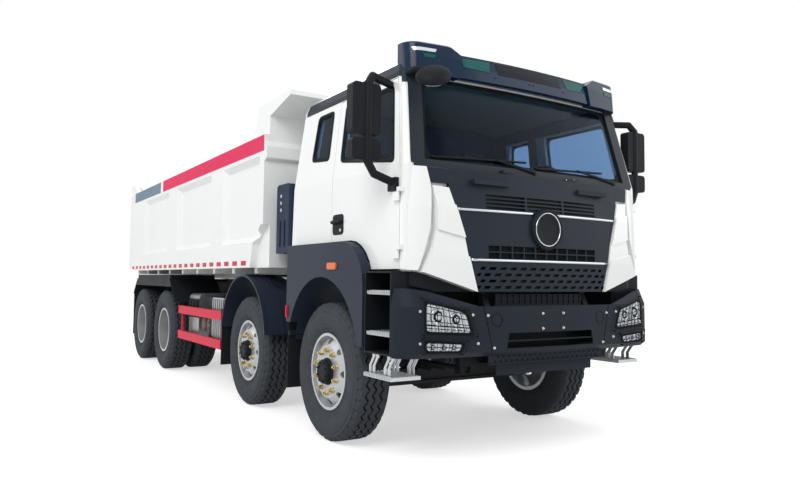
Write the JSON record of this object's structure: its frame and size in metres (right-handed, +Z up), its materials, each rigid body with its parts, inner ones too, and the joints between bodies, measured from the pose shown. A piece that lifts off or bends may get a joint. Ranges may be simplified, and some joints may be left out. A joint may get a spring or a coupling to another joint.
{
  "type": "mining dump truck",
  "caption": "Rigid cab-over tipper with two steered front axles and twin rear wheels, a rear-pivoting open steel bed on a telescopic hoist, and a tilting cab.",
  "frame": {"origin": "on the ground, at the middle of the truck's length and width", "axes": "+X forward, +Y to the truck's left, +Z up"},
  "size_m": [8.7098, 2.97, 2.97],
  "materials": {
    "white_paint": "gloss",
    "frame_paint": "satin",
    "cast_steel": "matte",
    "engine_grey": "matte",
    "bumper_grey": "matte",
    "lamp_lens": "gloss",
    "black_plastic": "matte",
    "tread_alloy": "satin",
    "guard_red": "satin",
    "shield_silver": "satin",
    "tank_brown": "satin",
    "tank_grey": "satin",
    "clear_glass": "gloss",
    "slate_panel": "satin",
    "cab_trim": "matte",
    "hoist_chrome": "gloss",
    "wheel_silver": "satin",
    "tyre_black": "matte"
  },
  "bodies": {
    "chassis": {"chassis_frame": "frame_paint", "sub_frame": "frame_paint", "front_axles": "cast_steel", "rear_axles": "cast_steel", "leaf_springs": "cast_steel", "powertrain": "engine_grey", "front_bumper": "bumper_grey", "lamps": "lamp_lens", "cab_steps": "black_plastic", "step_treads": "tread_alloy", "front_mudguards": "black_plastic", "rear_mudguards": "black_plastic", "side_guards": "guard_red", "battery_box": "black_plastic", "exhaust_box": "shield_silver", "air_tanks": "tank_brown", "left_tanks": "tank_grey", "air_intake": "black_plastic"},
    "cab": {"cab_shell": "white_paint", "cab_glass": "clear_glass", "roof_visor": "slate_panel", "corner_panels": "white_paint", "cab_skirt": "black_plastic", "cab_interior": "cab_trim"},
    "grille_lid": {"grille_panel": "slate_panel"},
    "bed": {"bed_floor": "white_paint", "bed_sides": "white_paint", "bed_front": "white_paint"},
    "tailgate": {"tailgate": "white_paint"},
    "hoist_barrel": {"hoist_barrel": "frame_paint"},
    "hoist_tube_1": {"hoist_tube_1": "hoist_chrome"},
    "hoist_tube_2": {"hoist_tube_2": "hoist_chrome"},
    "hoist_tube_3": {"hoist_tube_3": "hoist_chrome"},
    "hoist_rod": {"hoist_rod": "hoist_chrome"},
    "door_left": {"door_left": "white_paint", "door_glass_left": "clear_glass", "door_mirror_left": "black_plastic"},
    "knuckle_1_left": {"knuckle_1_left": "cast_steel"},
    "wheel_1_left": {"wheel_1_left": "wheel_silver", "tyre_1_left": "tyre_black"},
    "knuckle_2_left": {"knuckle_2_left": "cast_steel"},
    "wheel_2_left": {"wheel_2_left": "wheel_silver", "tyre_2_left": "tyre_black"},
    "wheel_3_left": {"wheel_3_left": "wheel_silver", "tyre_3_left": "tyre_black"},
    "wheel_4_left": {"wheel_4_left": "wheel_silver", "tyre_4_left": "tyre_black"},
    "door_right": {"door_right": "white_paint", "door_glass_right": "clear_glass", "door_mirror_right": "black_plastic"},
    "knuckle_1_right": {"knuckle_1_right": "cast_steel"},
    "wheel_1_right": {"wheel_1_right": "wheel_silver", "tyre_1_right": "tyre_black"},
    "knuckle_2_right": {"knuckle_2_right": "cast_steel"},
    "wheel_2_right": {"wheel_2_right": "wheel_silver", "tyre_2_right": "tyre_black"},
    "wheel_3_right": {"wheel_3_right": "wheel_silver", "tyre_3_right": "tyre_black"},
    "wheel_4_right": {"wheel_4_right": "wheel_silver", "tyre_4_right": "tyre_black"}
  },
  "joints": [
    {"name": "steer_1_left", "type": "hinge", "parent": "chassis", "child": "knuckle_1_left", "pos_m": [3.055, 0.93, 0.54], "axis": [0, 0, 1], "range_deg": [-38, 38]},
    {"name": "wheel_1_left_spin", "type": "hinge", "parent": "knuckle_1_left", "child": "wheel_1_left", "pos_m": [3.055, 1.04, 0.54], "axis": [0, 1, 0], "continuous": true},
    {"name": "steer_1_right", "type": "hinge", "parent": "chassis", "child": "knuckle_1_right", "pos_m": [3.055, -0.93, 0.54], "axis": [0, 0, 1], "range_deg": [-38, 38]},
    {"name": "wheel_1_right_spin", "type": "hinge", "parent": "knuckle_1_right", "child": "wheel_1_right", "pos_m": [3.055, -1.04, 0.54], "axis": [0, 1, 0], "continuous": true},
    {"name": "steer_2_left", "type": "hinge", "parent": "chassis", "child": "knuckle_2_left", "pos_m": [1.255, 0.93, 0.54], "axis": [0, 0, 1], "range_deg": [-27, 27]},
    {"name": "wheel_2_left_spin", "type": "hinge", "parent": "knuckle_2_left", "child": "wheel_2_left", "pos_m": [1.255, 1.04, 0.54], "axis": [0, 1, 0], "continuous": true},
    {"name": "steer_2_right", "type": "hinge", "parent": "chassis", "child": "knuckle_2_right", "pos_m": [1.255, -0.93, 0.54], "axis": [0, 0, 1], "range_deg": [-27, 27]},
    {"name": "wheel_2_right_spin", "type": "hinge", "parent": "knuckle_2_right", "child": "wheel_2_right", "pos_m": [1.255, -1.04, 0.54], "axis": [0, 1, 0], "continuous": true},
    {"name": "wheel_3_left_spin", "type": "hinge", "parent": "chassis", "child": "wheel_3_left", "pos_m": [-1.945, 0.93, 0.54], "axis": [0, 1, 0], "continuous": true},
    {"name": "wheel_3_right_spin", "type": "hinge", "parent": "chassis", "child": "wheel_3_right", "pos_m": [-1.945, -0.93, 0.54], "axis": [0, 1, 0], "continuous": true},
    {"name": "wheel_4_left_spin", "type": "hinge", "parent": "chassis", "child": "wheel_4_left", "pos_m": [-3.345, 0.93, 0.54], "axis": [0, 1, 0], "continuous": true},
    {"name": "wheel_4_right_spin", "type": "hinge", "parent": "chassis", "child": "wheel_4_right", "pos_m": [-3.345, -0.93, 0.54], "axis": [0, 1, 0], "continuous": true},
    {"name": "cab_tilt", "type": "hinge", "parent": "chassis", "child": "cab", "pos_m": [4.205, 0, 0.95], "axis": [0, 1, 0], "range_deg": [0, 45]},
    {"name": "door_left_hinge", "type": "hinge", "parent": "cab", "child": "door_left", "pos_m": [4.098, 1.182, 1.7], "axis": [0, 0, 1], "range_deg": [-75, 0]},
    {"name": "door_right_hinge", "type": "hinge", "parent": "cab", "child": "door_right", "pos_m": [4.098, -1.182, 1.7], "axis": [0, 0, -1], "range_deg": [-75, 0]},
    {"name": "grille_lid_hinge", "type": "hinge", "parent": "cab", "child": "grille_lid", "pos_m": [4.225, 0, 2.05], "axis": [0, 1, 0], "range_deg": [-75, 0]},
    {"name": "bed_tip", "type": "hinge", "parent": "chassis", "child": "bed", "pos_m": [-3.895, 0, 1.175], "axis": [0, -1, 0], "range_deg": [0, 45]},
    {"name": "tailgate_hinge", "type": "hinge", "parent": "bed", "child": "tailgate", "pos_m": [-4.245, 0, 2.74], "axis": [0, 1, 0], "range_deg": [0, 75]},
    {"name": "hoist_swing", "type": "hinge", "parent": "chassis", "child": "hoist_barrel", "pos_m": [2.055, 0, 0.8], "axis": [0, -1, 0], "range_deg": [-1, 25.77]},
    {"name": "hoist_stage_1", "type": "slide", "parent": "hoist_barrel", "child": "hoist_tube_1", "axis": [0, 0, 1], "range_m": [-0.004, 1.1157]},
    {"name": "hoist_stage_2", "type": "slide", "parent": "hoist_tube_1", "child": "hoist_tube_2", "axis": [0, 0, 1], "range_m": [-0.004, 1.1157]},
    {"name": "hoist_stage_3", "type": "slide", "parent": "hoist_tube_2", "child": "hoist_tube_3", "axis": [0, 0, 1], "range_m": [-0.004, 1.1157]},
    {"name": "hoist_stage_4", "type": "slide", "parent": "hoist_tube_3", "child": "hoist_rod", "axis": [0, 0, 1], "range_m": [-0.004, 1.1157]}
  ],
  "couplings": [
    {"joint": "steer_1_right", "follows": "steer_1_left", "ratio": 1},
    {"joint": "steer_2_left", "follows": "steer_1_left", "ratio": 0.7},
    {"joint": "steer_2_right", "follows": "steer_1_left", "ratio": 0.7},
    {"joint": "hoist_swing", "follows": "bed_tip", "ratio": 0.56148},
    {"joint": "hoist_stage_1", "follows": "bed_tip", "m_per_rad": 1.4154},
    {"joint": "hoist_stage_2", "follows": "bed_tip", "m_per_rad": 1.4154},
    {"joint": "hoist_stage_3", "follows": "bed_tip", "m_per_rad": 1.4154},
    {"joint": "hoist_stage_4", "follows": "bed_tip", "m_per_rad": 1.4154}
  ]
}
